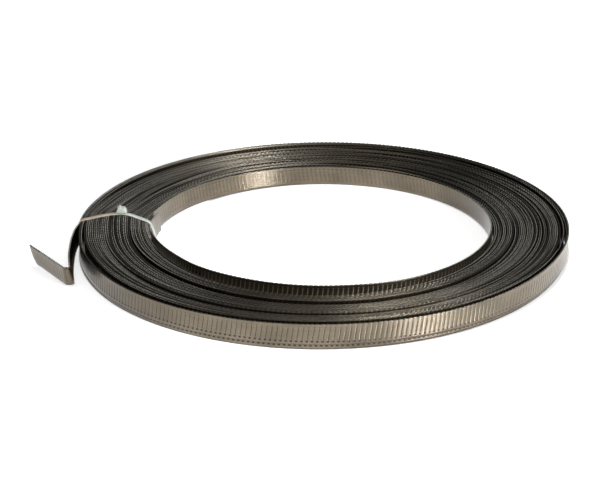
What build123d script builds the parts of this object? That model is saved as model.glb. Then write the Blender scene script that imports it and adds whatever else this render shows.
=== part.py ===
import os
from math import atan2, cos, degrees, radians, sin, sqrt

from build123d import *

# Driving dimensions, in millimetres and degrees.
# The band is steel strip with ribs pressed across it, wound flat and on edge.
band_width = 12.0
band_thickness = 0.8
rib_pitch = 2.8
groove_width = 0.7
ridge_width = 1.0
rib_depth = 0.3
rib_margin = 1.3
rib_run_in = 9.0
fold_margin = 2.0

# Coil
bore_radius = 101.5
turns = 37
turn_pitch = 1.25
turns_in_a_ring = 3
ring_lift = 0.5
outer_turn_lift = 2.5

# Outer end: it springs off the coil beside the tie, runs on and is folded back on itself.
tail_kick_angle = 9.0
tail_bend_radius = 200.0
tail_length = 64.0
fold_inside_radius = 0.6
fold_angle = 148.0
fold_back_length = 39.0
end_clip_length = 2.4
end_clip_height = 4.5

# Inner end: the first stretch springs inwards off the wall of the bore.
inner_end_curl = 6.5
inner_end_root_angle = 215.0
inner_end_sweep = 48.0

# Cable tie round the wound section
tie_angle = 178.0
strap_width = 3.0
strap_thickness = 1.0
strap_corner_radius = 0.5
peak_rise = 5.8
peak_inset = 2.0
peak_bend_radius = 20.0
tie_clearance = 0.3
floor_clearance = 0.2
head_length = 6.6
head_width = 5.6
head_height = 3.5
head_side_angle = 82.0
head_edge_radius = 0.7
slot_clearance = 0.3
slot_depth = 1.4
stub_length = 1.8
stub_lean_angle = 20.0
tail_start_gap = 1.0

# Sizes that follow from them
outer_radius = bore_radius + turns * turn_pitch
ring_count = (turns - 1) // turns_in_a_ring
coil_top = band_width + ring_lift
outer_top = band_width + outer_turn_lift
seat_height = floor_clearance + strap_thickness + tie_clearance
inner_end_radius = bore_radius - inner_end_curl
peak_distance = (bore_radius + outer_radius) / 2 - peak_inset
peak_height = coil_top + peak_rise


def at_angle(radius, angle):
    """Point in plan at a radius and an angle round the coil."""
    return Vector(radius * cos(radians(angle)), radius * sin(radians(angle)))


def upright_plane(origin, along):
    """Plane that stands on edge, with its X along a level direction and its Y upwards."""
    return Plane(origin=origin, x_dir=along, z_dir=along.cross(Vector(0, 0, 1)))


def coil_outline():
    """Section of the coil: rings of a few turns, stepped up and down, and the raised outer turn."""
    edges = [bore_radius + index * turns_in_a_ring * turn_pitch for index in range(ring_count)]
    edges += [outer_radius - turn_pitch, outer_radius]
    feet = []
    for index in range(ring_count):
        foot = ring_lift * (index % 2)
        feet += [(edges[index], foot), (edges[index + 1], foot)]
    feet += [(edges[-2], outer_turn_lift), (edges[-1], outer_turn_lift)]
    tops = [(radius, foot + band_width) for radius, foot in reversed(feet)]
    return feet + tops


def inner_end_face(angle):
    """Distance from the coil's axis to the inner face of the band's inner end."""
    off_axis = bore_radius + band_thickness / 2 - inner_end_radius
    face_radius = inner_end_radius - band_thickness / 2
    turn = radians(inner_end_root_angle - angle)
    return off_axis * cos(turn) + sqrt(face_radius**2 - (off_axis * sin(turn)) ** 2)


# Where the tie's strap runs down outside and inside the coil
outer_leg = outer_radius + tie_clearance
inner_leg = inner_end_face(tie_angle) - tie_clearance

# Paths of the two free ends, in plan
tail_start_angle = tie_angle + degrees((strap_width / 2 + tail_start_gap) / outer_radius)
tail_start_heading = tail_start_angle + 90.0 - tail_kick_angle
tail_sweep = degrees(tail_length / tail_bend_radius)
fold_radius = fold_inside_radius + band_thickness / 2

with BuildLine() as tail_path:
    tail_run = JernArc(
        start=at_angle(outer_radius - turn_pitch, tail_start_angle),
        tangent=at_angle(1.0, tail_start_heading),
        radius=tail_bend_radius,
        arc_size=tail_sweep,
    )
    tail_fold = JernArc(start=tail_run @ 1, tangent=tail_run % 1, radius=fold_radius, arc_size=-fold_angle)
    tail_end = Line(tail_fold @ 1, tail_fold @ 1 + (tail_fold % 1) * fold_back_length)

with BuildLine() as inner_end_path:
    JernArc(
        start=at_angle(bore_radius + band_thickness / 2, inner_end_root_angle),
        tangent=at_angle(1.0, inner_end_root_angle - 90.0),
        radius=inner_end_radius,
        arc_size=-inner_end_sweep,
    )


def rib_places(path, first, last):
    """Places of the ribs along a path, one pitch apart, from a first distance to a last one."""
    count = int((last - first) / rib_pitch) + 1
    places = []
    for index in range(count):
        share = (first + index * rib_pitch) / path.length
        heading = path % share
        turn = degrees(atan2(heading.Y, heading.X))
        places.append(Location(path @ share, (0, 0, turn)))
    return places


rib_spots = rib_places(tail_run, rib_run_in, tail_length - fold_margin)
rib_spots += rib_places(tail_end, fold_margin, fold_back_length - end_clip_length)

# Planes: along the end of the band, and across the coil's section at the tie
tie_side = at_angle(1.0, tie_angle)
end_plane = upright_plane(tail_end @ 1, -(tail_end % 1))
tie_plane = upright_plane((0, 0, 0), tie_side)
seat_plane = Plane(origin=(0, 0, 0), x_dir=tie_side, z_dir=(0, 0, 1))

# Clamp band: the turned coil with its two free ends
with BuildPart() as clamp_band:
    with BuildSketch(Plane.XZ):
        with BuildLine():
            Polyline(*coil_outline(), close=True)
        make_face()
    revolve(axis=Axis.Z)

    with BuildSketch():
        trace(tail_path.line, line_width=band_thickness)
        trace(inner_end_path.line, line_width=band_thickness)
    extrude(amount=band_width)

    # Ribs: a ridge pressed out of the inner face for each groove in the outer face
    with BuildSketch(Plane.XY.offset(rib_margin)):
        with Locations(*rib_spots):
            with Locations((0, band_thickness / 2)):
                Rectangle(ridge_width, 2 * rib_depth)
    extrude(amount=band_width - 2 * rib_margin)
    with BuildSketch(Plane.XY.offset(rib_margin)):
        with Locations(*rib_spots):
            with Locations((0, -band_thickness / 2)):
                Rectangle(groove_width, 2 * rib_depth)
    extrude(amount=band_width - 2 * rib_margin, mode=Mode.SUBTRACT)

    # Clipped lower corner of the folded end
    with BuildSketch(end_plane):
        with BuildLine():
            Polyline((0, 0), (end_clip_length, 0), (0, end_clip_height), close=True)
        make_face()
    extrude(amount=band_thickness, both=True, mode=Mode.SUBTRACT)

    # Seat under the turns, where the tie's strap passes below them
    with BuildSketch(seat_plane):
        with Locations(((inner_leg + outer_leg) / 2, 0)):
            Rectangle(outer_leg - inner_leg, strap_width + 2 * tie_clearance)
    extrude(amount=seat_height, mode=Mode.SUBTRACT)

clamp_band.part.label = "clamp_band"

# Cable tie: strap, ratchet head with its slot, and the cut end of the strap standing in the slot
strap_line = [
    (outer_leg, floor_clearance + strap_thickness),
    (outer_leg, outer_top + tie_clearance),
    (peak_distance, peak_height),
    (inner_leg, coil_top + tie_clearance),
    (inner_leg, floor_clearance + strap_thickness),
]
strap_bends = [strap_corner_radius] * len(strap_line)
strap_bends[strap_line.index((peak_distance, peak_height))] = peak_bend_radius
head_foot = peak_height + strap_thickness / 2
head_top = peak_height + strap_thickness + head_height

with BuildPart() as cable_tie:
    with BuildSketch(tie_plane):
        with BuildLine() as strap_loop:
            FilletPolyline(*strap_line, radius=strap_bends, close=True)
        make_face()
        offset(amount=strap_thickness)
        make_face(strap_loop.edges(), mode=Mode.SUBTRACT)
    extrude(amount=strap_width / 2, both=True)

    with BuildSketch(tie_plane):
        with Locations((peak_distance, (head_foot + head_top) / 2)):
            Trapezoid(head_length, head_top - head_foot, head_side_angle)
        fillet(vertices().group_by(Axis.Y)[-1], radius=head_edge_radius)
    extrude(amount=head_width / 2, both=True)

    with BuildSketch(tie_plane):
        with Locations((peak_distance, head_top - slot_depth / 2)):
            Rectangle(strap_thickness + 2 * slot_clearance, slot_depth)
    extrude(amount=strap_width / 2 + slot_clearance, both=True, mode=Mode.SUBTRACT)

    with BuildSketch(tie_plane):
        with Locations(Location((peak_distance, head_top - slot_depth), -stub_lean_angle)):
            Rectangle(strap_thickness, 2 * stub_length + slot_depth)
    extrude(amount=strap_width / 2, both=True)

cable_tie.part.label = "cable_tie"

os.makedirs("parts", exist_ok=True)
export_step(clamp_band.part, "parts/clamp_band.step")
export_step(cable_tie.part, "parts/cable_tie.step")
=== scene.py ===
import math
import random

import bmesh
import bpy
from mathutils import Matrix, Vector, noise


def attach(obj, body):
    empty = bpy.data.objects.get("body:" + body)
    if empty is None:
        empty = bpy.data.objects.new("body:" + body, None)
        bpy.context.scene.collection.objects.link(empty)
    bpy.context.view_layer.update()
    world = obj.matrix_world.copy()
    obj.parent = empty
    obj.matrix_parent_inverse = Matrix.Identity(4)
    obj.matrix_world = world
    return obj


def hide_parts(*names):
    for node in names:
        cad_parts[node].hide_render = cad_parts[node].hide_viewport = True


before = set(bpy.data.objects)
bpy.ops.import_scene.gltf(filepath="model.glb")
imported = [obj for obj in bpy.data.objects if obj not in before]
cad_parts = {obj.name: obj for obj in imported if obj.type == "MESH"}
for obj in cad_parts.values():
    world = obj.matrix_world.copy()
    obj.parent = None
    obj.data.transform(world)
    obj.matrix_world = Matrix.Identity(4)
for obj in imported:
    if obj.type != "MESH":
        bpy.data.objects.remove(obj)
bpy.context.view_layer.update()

mm = 0.001

# Band: steel strip with ribs pressed across it
band_width = 12.0 * mm
band_thickness = 0.8 * mm
rib_pitch = 2.8 * mm

# The strip is drawn in columns, a whole number to a rib, with the groove on one of them
columns_in_a_rib = 8
groove_column = 6
step = rib_pitch / columns_in_a_rib
groove_place = groove_column / columns_in_a_rib

# Camera: fitted to the coil's outline in the photograph, with lengths in coil radii
view_radius = 146.2 * mm
view_distance = 7.6
view_target = (-0.098, -0.033, 0.0)
view_elevation = math.radians(22.65)
view_roll = math.radians(-0.5)
view_lens = 110.64

camera_data = bpy.data.cameras.new("view")
camera_data.lens = view_lens
camera_data.sensor_width = 36.0
camera_data.clip_start = 0.01
camera = bpy.data.objects.new("view", camera_data)
bpy.context.scene.collection.objects.link(camera)
towards_camera = Vector((0.0, -math.cos(view_elevation), math.sin(view_elevation)))
camera.location = (Vector(view_target) + towards_camera * view_distance) * view_radius
tilt = Matrix.Rotation(math.radians(90.0) - view_elevation, 3, "X")
camera.rotation_euler = (tilt @ Matrix.Rotation(view_roll, 3, "Z")).to_euler()
bpy.context.scene.camera = camera
bpy.context.scene.view_settings.view_transform = "Standard"

# Settings that many nodes share
multiply = {"operation": "MULTIPLY"}
divide = {"operation": "DIVIDE"}
subtract = {"operation": "SUBTRACT"}
larger = {"operation": "MAXIMUM"}
smaller = {"operation": "MINIMUM"}
colours = {"data_type": "RGBA"}
eased = {"interpolation_type": "SMOOTHSTEP"}
white = (1.0, 1.0, 1.0, 1.0)

# A limit for masks that nothing on the object reaches, in metres or as a share of a rib
beyond = 1.0


def linear(code):
    """Linear colour of an sRGB hex value."""
    parts = [int(code[i : i + 2], 16) / 255 for i in (1, 3, 5)]
    low = [part / 12.92 if part <= 0.04045 else ((part + 0.055) / 1.055) ** 2.4 for part in parts]
    return (*low, 1.0)


def add(tree, kind, settings=None, links=None):
    """A node with its settings, by property or socket, and its links from other nodes' outputs."""
    node = tree.nodes.new(kind)
    for name, value in (settings or {}).items():
        if isinstance(name, str) and hasattr(node, name):
            setattr(node, name, value)
        else:
            node.inputs[name].default_value = value
    for name, output in (links or {}).items():
        tree.links.new(output, node.inputs[name])
    return node


def new_material(name):
    """An empty material and its node tree."""
    material = bpy.data.materials.new(name)
    material.use_nodes = True
    material.node_tree.nodes.clear()
    return material, material.node_tree


def within(tree, value, low, high, soft, strength=1.0, mask=None):
    """Mask of a given strength where a value lies between two limits, soft at both, inside another mask."""
    rise = {**eased, "From Min": low - soft, "From Max": low + soft, "To Max": strength}
    fall = {**eased, "From Min": high - soft, "From Max": high + soft, "To Min": 1.0, "To Max": 0.0}
    above = add(tree, "ShaderNodeMapRange", rise, {"Value": value}).outputs[0]
    below = add(tree, "ShaderNodeMapRange", fall, {"Value": value}).outputs[0]
    inside = add(tree, "ShaderNodeMath", multiply, {0: above, 1: below}).outputs[0]
    if mask is None:
        return inside
    return add(tree, "ShaderNodeMath", multiply, {0: inside, 1: mask}).outputs[0]


def rib_phase(tree, along, place):
    """Distance from the nearest such place along the ribs, as a share of the rib pitch."""
    count = add(tree, "ShaderNodeMath", {**divide, 1: rib_pitch}, {0: along}).outputs[0]
    moved = add(tree, "ShaderNodeMath", {**subtract, 1: place}, {0: count}).outputs[0]
    return add(tree, "ShaderNodeMath", {"operation": "PINGPONG", 1: 0.5}, {0: moved}).outputs[0]


def pressed_steel(name, painted_groove_tone, groove_gloss, dot_top):
    """Cold rolled steel strip under a film of oil: satin, with its grooves painted dark as shade, or bright
    as highlights.
    """
    material, tree = new_material(name)
    strip = add(tree, "ShaderNodeUVMap", {"uv_map": "strip"}).outputs[0]
    strip_place = add(tree, "ShaderNodeSeparateXYZ", links={0: strip})
    along, height = strip_place.outputs[0], strip_place.outputs[1]
    outer_face = add(tree, "ShaderNodeAttribute", {"attribute_name": "outside"}).outputs["Fac"]
    bore_face = add(tree, "ShaderNodeMath", {**subtract, 0: 1.0}, {1: outer_face}).outputs[0]
    solid = add(tree, "ShaderNodeTexCoord").outputs["Object"]
    solid_place = add(tree, "ShaderNodeSeparateXYZ", links={0: solid})

    # Rolling marks run along the strip and mottle it; the real ones are finer than the picture shows
    streak_length = 20.0 * mm
    streak_width = 0.5 * mm
    mottle_size = 1.1 * mm
    streak_scale = (1 / streak_length, 1 / streak_width, 1.0)
    mottle_scale = (1 / mottle_size, 1 / mottle_size, 1.0)
    rolled = add(tree, "ShaderNodeMapping", {"Scale": streak_scale}, {"Vector": strip}).outputs[0]
    streaks = add(tree, "ShaderNodeTexNoise", {"Scale": 1.0, "Detail": 3.0}, {"Vector": rolled}).outputs[0]
    mottled = add(tree, "ShaderNodeMapping", {"Scale": mottle_scale}, {"Vector": strip}).outputs[0]
    mottle = add(tree, "ShaderNodeTexNoise", {"Scale": 1.0, "Detail": 2.0}, {"Vector": mottled}).outputs[0]

    # Stains are about 22 mm across and turn the steel from a dull brown grey to a lighter one
    stains = add(tree, "ShaderNodeTexNoise", {"Scale": 45.0, "Detail": 4.0}, {"Vector": solid}).outputs[0]
    stain_limits = {"From Min": 0.35, "From Max": 0.65}
    stain = add(tree, "ShaderNodeMapRange", stain_limits, {"Value": stains}).outputs[0]
    stain_tones = {**colours, 6: linear("#605748"), 7: linear("#766B5A")}
    stained = add(tree, "ShaderNodeMix", stain_tones, {0: stain}).outputs[2]
    worn = add(tree, "ShaderNodeMath", {"operation": "ADD"}, {0: streaks, 1: mottle}).outputs[0]
    shades = {"From Min": 0.7, "From Max": 1.3, "To Min": 0.78, "To Max": 1.16}
    shade = add(tree, "ShaderNodeMapRange", shades, {"Value": worn}).outputs[0]
    darkening = {**colours, "blend_type": "MULTIPLY", 0: 1.0}
    streaked = add(tree, "ShaderNodeMix", darkening, {6: stained, 7: shade}).outputs[2]

    # Painted shade: the outer face at the coil's near left, and the bore's face at its right, are darkened
    # to stand in for dark reflections there
    left = within(tree, solid_place.outputs[0], -beyond, -96.0 * mm, 30.0 * mm, 0.68, outer_face)
    near_left = within(tree, solid_place.outputs[1], -beyond, 0.0, 20.0 * mm, 1.0, left)
    right = within(tree, solid_place.outputs[0], 80.0 * mm, beyond, 20.0 * mm, 0.75, bore_face)
    painted_shade = add(tree, "ShaderNodeMath", larger, {0: near_left, 1: right}).outputs[0]
    painted_shade_tone = {**colours, 7: linear("#453C2E")}
    with_painted_shade = add(tree, "ShaderNodeMix", painted_shade_tone, {0: painted_shade, 6: streaked}).outputs[2]

    # Inner face: faint lines between the ridges, and dark dots along the upper margin
    off = rib_phase(tree, along, groove_place)
    margin = within(tree, height, 9.8 * mm, dot_top, 0.3 * mm, 0.55, bore_face)
    dots = within(tree, off, 0.30, beyond, 0.06, 1.0, margin)
    bore_run = within(tree, height, 2.0 * mm, 9.4 * mm, 0.4 * mm, 0.34, bore_face)
    bore_line = within(tree, off, 0.36, beyond, 0.08, 1.0, bore_run)
    bore_marks = add(tree, "ShaderNodeMath", larger, {0: dots, 1: bore_line}).outputs[0]
    bore_mark_tone = {**colours, 7: linear("#3C3329")}
    dotted = add(tree, "ShaderNodeMix", bore_mark_tone, {0: bore_marks, 6: with_painted_shade}).outputs[2]

    # Outer face: painted shade in each groove, a thin broken line with its foot drawn out to one side and a
    # dot at its head; where the groove tone is bright these are painted highlights instead
    breaks = {"From Min": 0.3, "From Max": 0.6, "To Min": 0.5}
    broken = add(tree, "ShaderNodeMapRange", breaks, {"Value": mottle}).outputs[0]
    rib_run = within(tree, height, 2.8 * mm, 9.6 * mm, 0.3 * mm, 0.85, broken)
    line = within(tree, off, -beyond, 0.08, 0.05, 1.0, rib_run)
    foot_run = within(tree, height, 1.45 * mm, 2.35 * mm, 0.15 * mm, 1.0)
    foot_off = rib_phase(tree, along, groove_place - 0.10)
    foot = within(tree, foot_off, -beyond, 0.22, 0.05, 1.0, foot_run)
    head_run = within(tree, height, 9.9 * mm, 10.5 * mm, 0.2 * mm, 0.5)
    head = within(tree, off, -beyond, 0.13, 0.05, 1.0, head_run)
    ends = add(tree, "ShaderNodeMath", larger, {0: foot, 1: head}).outputs[0]
    marks = add(tree, "ShaderNodeMath", larger, {0: line, 1: ends}).outputs[0]
    groove = add(tree, "ShaderNodeMath", multiply, {0: marks, 1: outer_face}).outputs[0]
    painted_groove_tones = {**colours, 7: linear(painted_groove_tone)}
    with_painted_grooves = add(tree, "ShaderNodeMix", painted_groove_tones, {0: groove, 6: dotted}).outputs[2]

    # The rolling marks vary the satin and stand barely proud
    satin = add(tree, "ShaderNodeMapRange", {"To Min": 0.26, "To Max": 0.38}, {"Value": streaks}).outputs[0]
    gloss = add(tree, "ShaderNodeMix", {3: groove_gloss}, {0: groove, 2: satin}).outputs[0]
    relief = {"Strength": 0.15, "Distance": 0.05 * mm}
    bump = add(tree, "ShaderNodeBump", relief, {"Height": streaks}).outputs[0]
    shader = add(
        tree,
        "ShaderNodeBsdfPrincipled",
        {"Metallic": 1.0, "Coat Weight": 0.55, "Coat Roughness": 0.20},
        {"Base Color": with_painted_grooves, "Roughness": gloss, "Normal": bump},
    )
    add(tree, "ShaderNodeOutputMaterial", links={"Surface": shader.outputs[0]})
    return material


def sheared_steel():
    """Sheared edge of the same strip: a rough, oiled, nearly black break, with a painted highlight in a thin
    bright line.
    """
    material, tree = new_material("sheared_steel")
    strip = add(tree, "ShaderNodeUVMap", {"uv_map": "strip"}).outputs[0]
    along = add(tree, "ShaderNodeSeparateXYZ", links={0: strip}).outputs[0]
    across = add(tree, "ShaderNodeAttribute", {"attribute_name": "outside"}).outputs["Fac"]
    place = add(tree, "ShaderNodeTexCoord").outputs["Object"]

    # Painted highlight: a bright line along the inner face's side of the break, in long stretches and torn
    # into flecks
    stretch_length = 210.0 * mm
    fleck_length = 4.0 * mm
    long_place = add(tree, "ShaderNodeMath", {**divide, 1: stretch_length}, {0: along}).outputs[0]
    long_noise = {"noise_dimensions": "1D", "Scale": 1.0, "Detail": 1.0}
    stretch_noise = add(tree, "ShaderNodeTexNoise", long_noise, {"W": long_place}).outputs[0]
    short_place = add(tree, "ShaderNodeMath", {**divide, 1: fleck_length}, {0: along}).outputs[0]
    short_noise = {"noise_dimensions": "1D", "Scale": 1.0, "Detail": 2.0}
    torn = add(tree, "ShaderNodeTexNoise", short_noise, {"W": short_place}).outputs[0]
    stretches = {"From Min": 0.38, "From Max": 0.54, "To Min": 0.08}
    highlight_stretch = add(tree, "ShaderNodeMapRange", stretches, {"Value": stretch_noise}).outputs[0]
    flecks = {"From Min": 0.35, "From Max": 0.75, "To Min": 0.55, "To Max": 1.15}
    fleck = add(tree, "ShaderNodeMapRange", flecks, {"Value": torn}).outputs[0]
    highlight_side_range = {"From Min": 0.7, "From Max": 0.3, "To Min": 0.25}
    highlight_side = add(tree, "ShaderNodeMapRange", highlight_side_range, {"Value": across}).outputs[0]
    painted_highlight = add(tree, "ShaderNodeMath", multiply, {0: highlight_stretch, 1: highlight_side}).outputs[0]

    # Painted shade on the edges at two places, on the near side and at the far right: the painted highlight
    # is dimmed there and made stronger further off
    near_shade_spot = {"operation": "DISTANCE", 1: (0.0, -125.0 * mm, 0.0)}
    far_shade_spot = {"operation": "DISTANCE", 1: (55.0 * mm, 115.0 * mm, 0.0)}
    from_near_shade = add(tree, "ShaderNodeVectorMath", near_shade_spot, {0: place}).outputs["Value"]
    from_far_shade = add(tree, "ShaderNodeVectorMath", far_shade_spot, {0: place}).outputs["Value"]
    from_painted_shade = add(tree, "ShaderNodeMath", smaller, {0: from_near_shade, 1: from_far_shade}).outputs[0]
    shade_falloff = {**eased, "From Min": 40.0 * mm, "From Max": 120.0 * mm, "To Min": 0.25, "To Max": 1.7}
    highlight_strength = add(tree, "ShaderNodeMapRange", shade_falloff, {"Value": from_painted_shade}).outputs[0]
    shaded_highlight = add(tree, "ShaderNodeMath", multiply, {0: painted_highlight, 1: highlight_strength}).outputs[0]

    # Each groove breaks the painted highlight
    off_groove = within(tree, rib_phase(tree, along, groove_place), 0.22, beyond, 0.12)
    ridge = add(tree, "ShaderNodeMapRange", {"To Min": 0.42}, {"Value": off_groove}).outputs[0]
    torn_ridge = add(tree, "ShaderNodeMath", multiply, {0: fleck, 1: ridge}).outputs[0]
    highlight_amount = add(tree, "ShaderNodeMath", multiply, {0: shaded_highlight, 1: torn_ridge}).outputs[0]
    edge_and_highlight_tones = {**colours, 6: linear("#181917"), 7: linear("#D6D2C6")}
    tone = add(tree, "ShaderNodeMix", edge_and_highlight_tones, {0: highlight_amount}).outputs[2]

    # The break is rounded across the strip's thickness, so that it draws a thin line of light
    half_wave = add(tree, "ShaderNodeMath", {**multiply, 1: math.pi}, {0: across}).outputs[0]
    round_over = add(tree, "ShaderNodeMath", {"operation": "SINE"}, {0: half_wave}).outputs[0]
    relief = {"Strength": 1.0, "Distance": 0.16 * mm}
    rounding = add(tree, "ShaderNodeBump", relief, {"Height": round_over}).outputs[0]
    shader = add(
        tree,
        "ShaderNodeBsdfPrincipled",
        {"Metallic": 0.6, "Roughness": 0.34},
        {"Base Color": tone, "Normal": rounding},
    )
    add(tree, "ShaderNodeOutputMaterial", links={"Surface": shader.outputs[0]})
    return material


def tie_nylon():
    """Moulded nylon in its natural milky white: soft gloss, some light passing in, and one side yellowed."""
    material, tree = new_material("milky_nylon")
    place = add(tree, "ShaderNodeTexCoord").outputs["Object"]
    across = add(tree, "ShaderNodeSeparateXYZ", links={0: place}).outputs[0]

    # Left of the head the strap has yellowed; clouds about 4 mm across lie in the nylon
    ageing = {**eased, "From Min": -127.0 * mm, "From Max": -123.0 * mm}
    fresh = add(tree, "ShaderNodeMapRange", ageing, {"Value": across}).outputs[0]
    tones = {**colours, 6: linear("#B9AB9A"), 7: linear("#B6BCB3")}
    tone = add(tree, "ShaderNodeMix", tones, {0: fresh}).outputs[2]
    cloud = add(tree, "ShaderNodeTexNoise", {"Scale": 260.0, "Detail": 2.0}, {"Vector": place}).outputs[0]
    shade = add(tree, "ShaderNodeMapRange", {"To Min": 0.84, "To Max": 1.08}, {"Value": cloud}).outputs[0]
    clouding = {**colours, "blend_type": "MULTIPLY", 0: 1.0}
    clouded = add(tree, "ShaderNodeMix", clouding, {6: tone, 7: shade}).outputs[2]
    relief = {"Strength": 0.25, "Distance": 0.2 * mm}
    bump = add(tree, "ShaderNodeBump", relief, {"Height": cloud}).outputs[0]
    shader = add(
        tree,
        "ShaderNodeBsdfPrincipled",
        {
            "Roughness": 0.42,
            "IOR": 1.53,
            "Subsurface Weight": 0.2,
            "Subsurface Radius": (1.0, 1.0, 0.9),
            "Subsurface Scale": 1.0 * mm,
        },
        {"Base Color": clouded, "Normal": bump},
    )
    add(tree, "ShaderNodeOutputMaterial", links={"Surface": shader.outputs[0]})
    return material


# Most of the strip has painted shade in its grooves; on the innermost turn they carry painted highlights
steel = pressed_steel("pressed_steel", painted_groove_tone="#261F18", groove_gloss=0.5, dot_top=12.5 * mm)
groove_highlight_steel = pressed_steel("groove_highlight_steel", painted_groove_tone="#C8BFAE", groove_gloss=0.62, dot_top=11.0 * mm)
edge_steel = sheared_steel()
nylon = tie_nylon()

# Winding: places are counted in turns from the +X side, outwards and counter-clockwise seen from above.
# Angles are in degrees from +X. Lengths are in mm here, and in metres from the columns on
tie_angle = 178.0
near_angle = 262.0
far_angle = 95.0
first_turn = 167.0 / 360
last_turn = 37 + 178.97 / 360
turns_between = 36.0

# Walls of the coil: radius of the strip's middle, and humps by height, angle and reach
bore_radius = 100.7
bore_humps = [(4.1, tie_angle, 18.0), (0.9, 142.0, 16.0), (-1.0, 258.0, 36.0), (-0.7, 60.0, 25.0)]
outer_radius = 145.9
outer_humps = [(2.0, 232.0, 40.0), (1.4, 5.0, 18.0), (-1.0, 335.0, 22.0), (-1.8, 90.0, 42.0)]

# Gaps between neighbouring turns: width, angle where it is widest, turn that it lies outside, and the
# power of its window round the coil
gaps = [
    (4.3, near_angle, 1, 4),
    (1.9, near_angle, 11, 4),
    (0.6, 250.0, 24, 6),
    (3.2, near_angle, 35, 4),
    (3.0, 118.0, 34, 4),
    (1.0, 5.0, 34, 6),
]
draw = random.Random(7)
for turn in range(3, 34, 2):
    gaps.append((draw.uniform(0.3, 0.9), draw.uniform(-60.0, 200.0), turn, 8))

# The tie closes most of each gap, and every turn wanders a little
gap_grip = 0.85
gap_grip_reach = 13.0
turn_wander = 0.08
wander_noise = (1.5, 0.83)

# How far the inner end stands off the turn outside it, by its place in turns
end_spring = [(0.464, -1.1), (0.476, -1.3), (0.492, -1.6), (0.54, -1.3), (0.62, 0.0)]


def bell(angle, centre, reach):
    """Smooth hump round the coil, one at its centre, with its reach in degrees."""
    off = (angle - centre + 180.0) % 360.0 - 180.0
    return math.exp(-0.5 * (off / reach) ** 2)


def side(angle, centre, power):
    """Smooth window round the coil, one at its centre and nothing opposite, for an even power."""
    return math.cos(math.radians(angle - centre) / 2) ** power


def wall(angle, radius, humps):
    """Radius of a wall of the coil at an angle, with its humps."""
    return radius + sum(height * bell(angle, centre, reach) for height, centre, reach in humps)


def table(place, stops, smooth=True):
    """Value between (place, value) stops, smooth or straight from one to the next."""
    if place <= stops[0][0]:
        return stops[0][1]
    for (low, before), (high, after) in zip(stops, stops[1:]):
        if place <= high:
            share = (place - low) / (high - low)
            if smooth:
                share = share * share * (3 - 2 * share)
            return before + (after - before) * share
    return stops[-1][1]


def spread(angle):
    """Widths of the gaps at an angle, and the pitch that is left for the turns."""
    grip = 1.0 - gap_grip * bell(angle, tie_angle, gap_grip_reach)
    widths = [width * grip * side(angle, centre, power) for width, centre, turn, power in gaps]
    build = wall(angle, outer_radius, outer_humps) - wall(angle, bore_radius, bore_humps)
    return widths, (build - sum(widths)) / turns_between


def gap_place(angle, turn):
    """Where along the winding a gap's step lies: opposite the gap, where it is closed."""
    return turn + ((angle + 180.0) % 360.0) / 360.0


gap_steps = [gap_place(centre, turn) for width, centre, turn, power in gaps]
spreads = [spread(angle) for angle in range(361)]


def round_noise(turn, scale, spacing):
    """Noise round the coil, from one turn to the next and without a seam."""
    angle = math.tau * turn
    return noise.noise(Vector((scale * math.cos(angle), scale * math.sin(angle), spacing * turn)))


def turn_radius(turn):
    """Radius of the strip's middle at a place along the winding."""
    angle = (turn % 1.0) * 360.0
    low = int(angle)
    share = angle - low
    widths, pitch = spreads[low]
    next_widths, next_pitch = spreads[low + 1]
    radius = wall(angle, bore_radius, bore_humps) + (turn - 1.0) * (pitch + (next_pitch - pitch) * share)
    for place, width, next_width in zip(gap_steps, widths, next_widths):
        if turn > place:
            radius += width + (next_width - width) * share
    radius += table(turn, end_spring)
    return radius + turn_wander * round_noise(turn, *wander_noise)


# Heights of the strip's lower edge over the floor, by the place in turns: the inner end and the outermost
# turn by themselves
inner_lift = [
    (0.469, 0.1),
    (0.53, 1.5),
    (0.60, 3.4),
    (0.68, 4.1),
    (0.76, 4.0),
    (0.84, 3.1),
    (0.95, 2.6),
    (1.06, 0.8),
    (1.22, 0.3),
    (1.33, 0.5),
    (1.41, 1.4),
    (1.47, 0.9),
    (1.56, 0.3),
]
outer_lift = [
    (34.95, 0.5),
    (35.12, 1.3),
    (35.38, 1.3),
    (35.55, 0.2),
    (35.95, 0.2),
    (36.12, 1.5),
    (36.36, 1.5),
    (36.52, 2.3),
    (36.70, 2.7),
    (36.9, 2.4),
    (37.08, 1.8),
    (37.4, 1.8),
]

# Between them three groups of turns rise outwards on the near side: first place, last place, lift at each.
# A group ends on the far side, where the gap outside it has closed
group_end = 0.228
near_lifts = [
    (1 + group_end, 11 + group_end, 0.1, 1.5),
    (11 + group_end, 24 + group_end, 0.1, 1.5),
    (24 + group_end, 35 + group_end, 0.3, 2.0),
]

# Those turns also lie uneven, less on the near side and more on the far side
mean_lift = 0.5
mean_drop_near = 0.3
uneven = 0.9
evener_near = 0.4
more_uneven_far = 1.2
uneven_noise = (1.0, 1.7)
lowest_lift = 0.1

# Upper face of the tie's strap over the turns, by radius; under it the turns crown up to it
strap_line = [
    (103.2, 13.2),
    (106.4, 14.6),
    (110.3, 16.1),
    (116.0, 18.3),
    (122.0, 19.5),
    (128.0, 18.9),
    (135.0, 17.6),
    (147.3, 15.1),
]
strap_thickness = 0.9
strap_play = 0.05
crown_reach = 6.5


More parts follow.
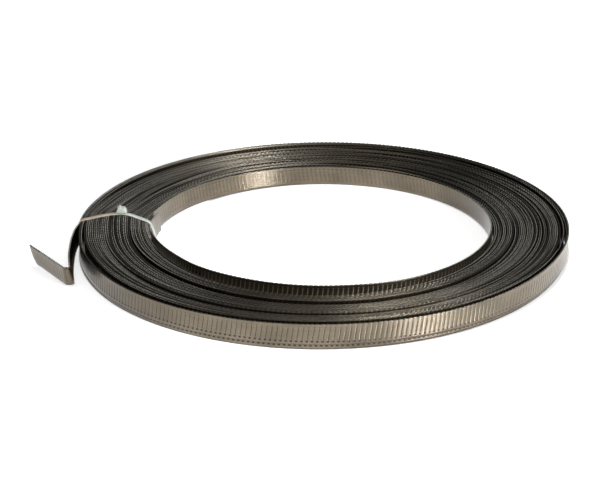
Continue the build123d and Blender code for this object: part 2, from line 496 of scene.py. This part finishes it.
def turn_lift(turn, radius):
    """Height of the strip's lower edge over the floor."""
    angle = (turn % 1.0) * 360.0
    lift = 0.0
    if turn < inner_lift[-1][0]:
        lift = table(turn, inner_lift)
    elif turn > outer_lift[0][0]:
        lift = table(turn, outer_lift)
    else:
        near = side(angle, near_angle, 4)
        far = side(angle, far_angle, 4)
        for start, stop, low, high in near_lifts:
            if start <= turn < stop:
                lift = near * (low + (high - low) * (turn - start) / (stop - start))
        spread_of_lifts = uneven - evener_near * near + more_uneven_far * far
        lift += mean_lift - mean_drop_near * near + spread_of_lifts * round_noise(turn, *uneven_noise)
    strap_height = table(radius, strap_line, smooth=False)
    crown = strap_height - strap_thickness - band_width / mm - strap_play
    return max(lowest_lift, lift + (crown - lift) * bell(angle, tie_angle, crown_reach))


class Column:
    """One place along the strip: its middle in plan, lower edge, and how far its top leans."""

    def __init__(self, turn, point, lift, lean):
        self.turn = turn
        self.point = point
        self.lift = lift
        self.lean = lean
        self.normal = Vector((0.0, 0.0))


# The turn inside the outermost stands outwards at its foot on the near side
flare = 1.0 * mm
flare_start = 35.2
flare_stop = 36.3

# The strap leans the inner turns outwards, the innermost most
strap_lean = 2.4 * mm
strap_lean_reach = 7.0
leaning_turns = 8.0


def wound_columns():
    """Columns along the wound strip."""
    columns = []
    turn = first_turn
    while turn < last_turn:
        radius = turn_radius(turn)
        angle = math.tau * turn
        degrees = math.degrees(angle)
        direction = Vector((math.cos(angle), math.sin(angle)))
        foot = flare * side(degrees, near_angle, 4) if flare_start < turn < flare_stop else 0.0
        inner_share = max(0.0, 1.0 - turn / leaning_turns)
        pulled = strap_lean * bell(degrees, tie_angle, strap_lean_reach) * inner_share
        point = direction * (radius * mm + foot)
        columns.append(Column(turn, point, turn_lift(turn, radius) * mm, direction * (pulled - foot)))
        turn += step / (math.tau * radius * mm)
    return columns


# Free end: lengths in mm, and how far each turns to the left in degrees
tail_bends = [
    (4.0, -5.1),
    (20.0, 9.0),
    (38.6, 7.5),
    (2.2, -80.0),
    (0.6, -19.0),
    (1.9, -1.0),
    (0.9, -54.0),
    (37.2, 0.0),
]

# How far its top leans along X and Y, and the height of its lower edge, in mm by the length run
tail_leans_x = [
    (0.0, 0.0),
    (14.0, -1.0),
    (30.0, -1.6),
    (50.0, -2.0),
    (63.0, -1.8),
    (68.0, -0.8),
    (106.0, -2.3),
]
tail_leans_y = [(30.0, 0.0), (50.0, -1.0), (63.0, -2.8), (68.0, -2.7), (106.0, -1.5)]
tail_lifts = [(30.0, 0.9), (66.0, 1.2), (105.0, 2.0)]
fold_place = 65.8 * mm


def free_columns(last, before):
    """Columns along the free end, carried on from the coil's last two."""
    columns = []
    ahead = last.point - before.point
    heading = math.atan2(ahead.y, ahead.x)
    point = last.point.copy()
    lifts = [(0.0, last.lift / mm)] + tail_lifts
    travelled = 0.0
    for length, bend in tail_bends:
        count = max(2, round(length * mm / step))
        for index in range(count):
            heading += math.radians(bend) / count
            point = point + Vector((math.cos(heading), math.sin(heading))) * (length * mm / count)
            travelled += length / count
            lean = Vector((table(travelled, tail_leans_x), table(travelled, tail_leans_y)))
            columns.append(Column(last_turn, point, table(travelled, lifts) * mm, lean * mm))
    return columns


columns = wound_columns()
wound_count = len(columns)
columns += free_columns(columns[-1], columns[-2])
fold_column = wound_count + round(fold_place / step)
for index, column in enumerate(columns):
    ahead = columns[min(index + 1, len(columns) - 1)].point - columns[max(index - 1, 0)].point
    ahead.normalize()
    column.normal = Vector((ahead.y, -ahead.x))


def between(place):
    """Middle, normal, lower edge and lean at any place along the columns."""
    place = min(max(place, 0.0), len(columns) - 1.001)
    low = int(place)
    share = place - low
    one, two = columns[low], columns[low + 1]
    return (
        one.point.lerp(two.point, share),
        one.normal.lerp(two.normal, share),
        one.lift + (two.lift - one.lift) * share,
        one.lean.lerp(two.lean, share),
    )


# Pressed relief: share of the depth by column along a rib, and by height in mm up the strip
fine_groove = [0.0, 0.0, 0.0, 0.0, 0.0, 0.3, 1.0, 0.3]
coarse_groove = [0.0, 0.0, 0.3, 1.0]
fine_rows = [
    (0.0, 0.1),
    (1.4, 0.15),
    (1.9, 0.9),
    (2.7, 0.8),
    (4.2, 0.9),
    (6.0, 0.8),
    (7.8, 0.9),
    (9.2, 0.8),
    (9.9, 0.4),
    (11.7, 0.5),
    (12.0, 0.5),
]
coarse_rows = [(0.0, 1.0), (11.7, 1.0), (12.0, 1.0)]

# How finely a piece is drawn: columns from one to the next, rows up the strip, and groove along a rib
fine = (1, fine_rows, fine_groove)
half_fine = (2, fine_rows, coarse_groove)
coarse = (2, coarse_rows, coarse_groove)

# The ribs slant, with a slight wave, but stand upright at both ends of the strip and at the fold
slant = 0.13
wave = 0.10 * mm
wave_length = 8.0 * mm
end_easing = 4.0 * mm
fold_easing = 6.0 * mm

# Each groove notches the upper edge, and the free end's lower corner is clipped
edge_notch = 0.35 * mm
end_clip = 2.4 * mm
end_clip_height = 4.5 * mm

# Faces that look up or down more than this are the sheared edges
upward = 0.7


def add_object(name, body, *finishes):
    """An object from a finished mesh, with its materials."""
    mesh = bpy.data.meshes.new(name)
    body.to_mesh(mesh)
    body.free()
    for finish in finishes:
        mesh.materials.append(finish)
    made = bpy.data.objects.new(name, mesh)
    bpy.context.scene.collection.objects.link(made)
    return made


def strip_piece(name, finish, first, last, fineness, depth, thickness):
    """A stretch of the strip between two columns, as a ribbon laid along them and given its thickness."""
    stride, rows, groove = fineness
    count = (last - first) // stride
    top_row = len(rows) - 1
    ribbon = bmesh.new()
    strip_map = ribbon.loops.layers.uv.new("strip")
    outside = ribbon.verts.layers.float.new("outside")
    bmesh.ops.create_grid(ribbon, x_segments=count, y_segments=top_row, size=0.5)
    for vert in ribbon.verts:
        vert.co.x = round((vert.co.x + 0.5) * count)
        vert.co.y = round((vert.co.y + 0.5) * top_row)
        vert[outside] = 1.0
    for face in ribbon.faces:
        for loop in face.loops:
            height = rows[round(loop.vert.co.y)][0] * mm
            loop[strip_map].uv = ((first + loop.vert.co.x * stride) * step, height)
    for vert in ribbon.verts:
        index = first + round(vert.co.x) * stride
        row = round(vert.co.y)
        height, relief = rows[row]
        height *= mm
        pressed = groove[(index // stride) % len(groove)]
        to_end = (len(columns) - 1 - index) * step
        if to_end < end_clip:
            foot = end_clip_height * (1 - to_end / end_clip)
            height = foot + height * (1 - foot / band_width)
            pressed = 0.0
        off = height - band_width / 2
        shift = slant * off + wave * math.sin(math.tau * off / wave_length)
        to_fold = abs(index - fold_column) * step
        slanting = min(1.0, index * step / end_easing, to_end / end_easing, to_fold / fold_easing)
        point, normal, lift, lean = between(index + shift * slanting / step)
        spot = point + normal * (thickness / 2 - depth * pressed * relief) + lean * (height / band_width)
        drop = edge_notch * pressed if row == top_row else 0.0
        vert.co = (spot.x, spot.y, lift + height - drop)
    ribbon.normal_update()
    outer_count = len(ribbon.verts)
    bmesh.ops.solidify(ribbon, geom=list(ribbon.faces), thickness=thickness)
    ribbon.verts.ensure_lookup_table()
    for vert in ribbon.verts[outer_count:]:
        vert[outside] = 0.0
    ribbon.normal_update()
    for face in ribbon.faces:
        face.material_index = 1 if abs(face.normal.z) > upward else 0
        face.smooth = face.normal.z > -upward
    piece = add_object(name, ribbon, finish, edge_steel)
    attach(piece, "root")
    return piece


def column_at(turn):
    """Number of the last column before a turn that lies on a whole rib."""
    count = sum(1 for column in columns[:wound_count] if column.turn < turn)
    return count // columns_in_a_rib * columns_in_a_rib


# Depth of the ribs on the outer wall, in the bore and between the turns
wall_depth = 0.28 * mm
bore_depth = 0.045 * mm
wound_depth = 0.22 * mm

# The wound turns are drawn a little thinner than the strip, so that the gaps between their edges show
wound_thickness = 0.58 * mm

# The strip is one length, drawn in six pieces that meet at these places along the winding
inner_stop = 1.62
middle_start = 12.6
outer_start = 24.0
outermost_start = 36.2
starts = [inner_stop, middle_start, outer_start, flare_start, outermost_start]
cuts = [0] + [column_at(turn) for turn in starts] + [len(columns) - 1]

strip_piece("inner_turn", groove_highlight_steel, cuts[0], cuts[1], fine, bore_depth, band_thickness)
strip_piece("wound_turns_inner", steel, cuts[1], cuts[2], coarse, wound_depth, wound_thickness)
strip_piece("wound_turns_middle", steel, cuts[2], cuts[3], coarse, wound_depth, wound_thickness)
strip_piece("wound_turns_outer", steel, cuts[3], cuts[4], coarse, wound_depth, wound_thickness)
strip_piece("second_turn", steel, cuts[4], cuts[5], half_fine, wall_depth, wound_thickness)
outer_turn = strip_piece(
    "outer_turn_and_free_end", steel, cuts[5], cuts[6], fine, wall_depth, band_thickness
)
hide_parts("clamp_band")

# Cable tie, in mm: X is the distance from the coil's axis, Y runs along the band and Z is up
strap_width = 3.2
strap_edge = 0.3
strap_edge_angle = math.radians(70.0)
head_centre = (121.75, 21.3)
head_size = (7.0, 5.4, 3.5)
head_taper = (0.60, 0.80, 1.0)
head_edge = 0.8
slot_wall = 0.5
slot_depth = 1.2
stub_size = (2.2, 2.6, 3.0)
stub_foot = (122.7, 22.15)
stub_lean = 12.0
stub_notch = 0.7
stub_notch_reach = 0.3

# The strap's way round the band, from its foot outside: up, over the turns' tops, down inside and back below
strap_outside = [(147.5, 1.0), (147.6, 5.0), (147.6, 10.0), (147.5, 13.8), (146.9, 14.7), (145.0, 15.2)]
strap_over = list(reversed(strap_line))[1:-1]
strap_inside = [(104.6, 13.3), (103.6, 11.0), (102.4, 7.5), (101.7, 4.0), (101.3, 1.4)]
strap_below = [(101.9, 0.2), (112.0, 0.1), (125.0, 0.1), (138.0, 0.1), (146.8, 0.2)]
strap_loop = strap_outside + strap_over + strap_inside + strap_below


def edges_of(verts):
    """The edges that end at the given vertices."""
    return list({edge for vert in verts for edge in vert.link_edges})


def add_strap(body):
    """The strap's closed loop, wrapped over the turns' tops and under their feet."""
    ring = bmesh.ops.create_circle(body, segments=len(strap_loop), radius=1.0)["verts"]
    for vert, (radius, height) in zip(sorted(ring, key=lambda item: item.index), strap_loop):
        vert.co = (radius, -strap_width / 2, height)
    pulled = bmesh.ops.extrude_edge_only(body, edges=edges_of(ring))["geom"]
    far = [item for item in pulled if isinstance(item, bmesh.types.BMVert)]
    bmesh.ops.translate(body, verts=far, vec=(0.0, strap_width, 0.0))
    bmesh.ops.recalc_face_normals(body, faces=list(body.faces))
    body.normal_update()
    bmesh.ops.solidify(body, geom=list(body.faces), thickness=strap_thickness)
    body.normal_update()
    long_edges = [edge for edge in body.edges if edge.calc_face_angle(0.0) > strap_edge_angle]
    bmesh.ops.bevel(
        body, geom=long_edges, offset=strap_edge, segments=2, profile=0.5, material=-1, affect="EDGES"
    )


def add_head(body):
    """The ratchet head: a rounded block that narrows upwards, with its slot."""
    place = Matrix.Translation((head_centre[0], 0.0, head_centre[1]))
    shape = place @ Matrix.Diagonal((*head_size, 1.0))
    block = bmesh.ops.create_cube(body, size=1.0, matrix=shape)["verts"]
    top = [vert for vert in block if vert.co.z > head_centre[1]]
    middle = Matrix.Translation((-head_centre[0], 0.0, 0.0))
    bmesh.ops.scale(body, verts=top, vec=head_taper, space=middle)
    rounded = bmesh.ops.bevel(
        body, geom=edges_of(block), offset=head_edge, segments=3, profile=0.5, material=-1, affect="EDGES"
    )
    body.normal_update()
    faces = {face for vert in block if vert.is_valid for face in vert.link_faces} | set(rounded["faces"])
    crown = max(faces, key=lambda face: face.normal.z * face.calc_area())
    bmesh.ops.inset_individual(body, faces=[crown], thickness=slot_wall)
    bmesh.ops.translate(body, verts=crown.verts, vec=(0.0, 0.0, -slot_depth))


def add_stub(body):
    """The cut end of the strap, standing out of the slot with two points."""
    lean = Matrix.Rotation(math.radians(stub_lean), 4, "Y")
    place = Matrix.Translation((stub_foot[0], 0.0, stub_foot[1])) @ lean
    shape = place @ Matrix.Diagonal((*stub_size, 1.0))
    block = bmesh.ops.create_cube(body, size=1.0, matrix=shape)["verts"]
    half_width = stub_size[1] / 2
    across = [edge for edge in edges_of(block) if abs(edge.verts[0].co.y - edge.verts[1].co.y) > half_width]
    cut = bmesh.ops.subdivide_edges(body, edges=across, cuts=3, use_grid_fill=True)["geom_inner"]
    added = [item for item in cut if isinstance(item, bmesh.types.BMVert)]
    for vert in added:
        if vert.co.z > stub_foot[1] and abs(vert.co.y) < stub_notch_reach:
            vert.co.z -= stub_notch


tie_body = bmesh.new()
add_strap(tie_body)
add_head(tie_body)
add_stub(tie_body)
tie_place = Matrix.Scale(mm, 4) @ Matrix.Rotation(math.radians(tie_angle), 4, "Z")
bmesh.ops.transform(tie_body, matrix=tie_place, verts=list(tie_body.verts))
bmesh.ops.recalc_face_normals(tie_body, faces=list(tie_body.faces))
for face in tie_body.faces:
    face.smooth = True
tie = add_object("tie_with_head", tie_body, nylon)
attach(tie, "root")
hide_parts("cable_tie")

# Floor: a glazed white table, white to the camera and in reflections. Under the coil its glow is left out in
# a ring, a painted shade;
# where the ring reaches past the outer wall it draws a thin dark line at the wall's foot. The ring starts at
# the bore's wall, which stands further out beside the tie than elsewhere
floor_glow = 0.6
floor_size = 6.0
floor_drop = 0.2 * mm
bore_wall_at_tie = 104.5 * mm
bore_wall_elsewhere = 101.6 * mm
elsewhere_start = -72.0 * mm
rings_overlap_to = 106.0 * mm
covered_stop = 147.2 * mm
floor_material, floor_tree = new_material("white_floor")
rays = add(floor_tree, "ShaderNodeLightPath").outputs
seen = {0: rays["Is Camera Ray"], 1: rays["Is Glossy Ray"]}
seen_or_reflected = add(floor_tree, "ShaderNodeMath", larger, seen).outputs[0]
passing = {0: seen_or_reflected, 1: rays["Is Transmission Ray"]}
glowing = add(floor_tree, "ShaderNodeMath", larger, passing).outputs[0]
floor_place = add(floor_tree, "ShaderNodeTexCoord").outputs["Object"]
floor_across = add(floor_tree, "ShaderNodeSeparateXYZ", links={0: floor_place}).outputs[0]
axis_length = {"operation": "LENGTH"}
from_axis = add(floor_tree, "ShaderNodeVectorMath", axis_length, {0: floor_place}).outputs["Value"]
covered = within(floor_tree, from_axis, bore_wall_at_tie, covered_stop, 0.5 * mm, floor_glow, glowing)
elsewhere = within(floor_tree, floor_across, elsewhere_start, beyond, 3.0 * mm, floor_glow, glowing)
inner_ring = (bore_wall_elsewhere, rings_overlap_to, 0.3 * mm)
rest_of_ring = within(floor_tree, from_axis, *inner_ring, 1.0, elsewhere)
painted_shade_ring = add(floor_tree, "ShaderNodeMath", larger, {0: covered, 1: rest_of_ring}).outputs[0]
full_glow = add(floor_tree, "ShaderNodeMath", {**multiply, 1: floor_glow}, {0: glowing}).outputs[0]
open_glow = add(floor_tree, "ShaderNodeMath", subtract, {0: full_glow, 1: painted_shade_ring}).outputs[0]
glazed = add(
    floor_tree,
    "ShaderNodeBsdfPrincipled",
    {"Base Color": linear("#F4F4F4"), "Roughness": 0.22, "Emission Color": white},
    {"Emission Strength": open_glow},
)
add(floor_tree, "ShaderNodeOutputMaterial", links={"Surface": glazed.outputs[0]})
sheet = bmesh.new()
bmesh.ops.create_grid(sheet, x_segments=1, y_segments=1, size=floor_size)
bmesh.ops.translate(sheet, verts=list(sheet.verts), vec=(0.0, 0.0, -floor_drop))
floor = add_object("floor", sheet, floor_material)

# Studio light: a soft surround, dimmer behind the object, and lamps
surround = 0.38
surround_behind = 0.17
world = bpy.data.worlds.new("studio")
bpy.context.scene.world = world
world.use_nodes = True
sky = world.node_tree
sky.nodes.clear()
sky_direction = add(sky, "ShaderNodeTexCoord").outputs["Generated"]
sky_depth = add(sky, "ShaderNodeSeparateXYZ", links={0: sky_direction}).outputs[1]
sky_fall = {"From Min": -0.1, "From Max": 0.6, "To Min": surround, "To Max": surround_behind}
sky_level = add(sky, "ShaderNodeMapRange", sky_fall, {"Value": sky_depth}).outputs[0]
sky_light = add(sky, "ShaderNodeBackground", {"Color": white}, {"Strength": sky_level})
add(sky, "ShaderNodeOutputWorld", links={"Surface": sky_light.outputs[0]})


def softbox(name, azimuth, elevation, distance, width, height, power):
    """A soft rectangular lamp that faces the object and isn't seen by the camera."""
    data = bpy.data.lights.new(name, "AREA")
    data.shape = "RECTANGLE"
    data.size = width
    data.size_y = height
    data.energy = power
    lamp = bpy.data.objects.new(name, data)
    bpy.context.scene.collection.objects.link(lamp)
    around = math.radians(azimuth)
    above = math.radians(elevation)
    level = Vector((math.cos(around), math.sin(around), 0.0)) * math.cos(above)
    away = level + Vector((0.0, 0.0, math.sin(above)))
    lamp.location = away * distance
    lamp.rotation_euler = away.to_track_quat("Z", "Y").to_euler()
    lamp.visible_camera = False


# The key lamp stands about as high as the camera: the upright walls show it by way of the glossy floor
softbox("key_light", azimuth=313.5, elevation=22.0, distance=1.3, width=0.32, height=0.12, power=22.0)
softbox("side_light", azimuth=50.0, elevation=22.0, distance=1.3, width=0.30, height=0.14, power=0.3)
softbox("top_light", azimuth=250.0, elevation=75.0, distance=1.6, width=1.2, height=1.2, power=8.0)
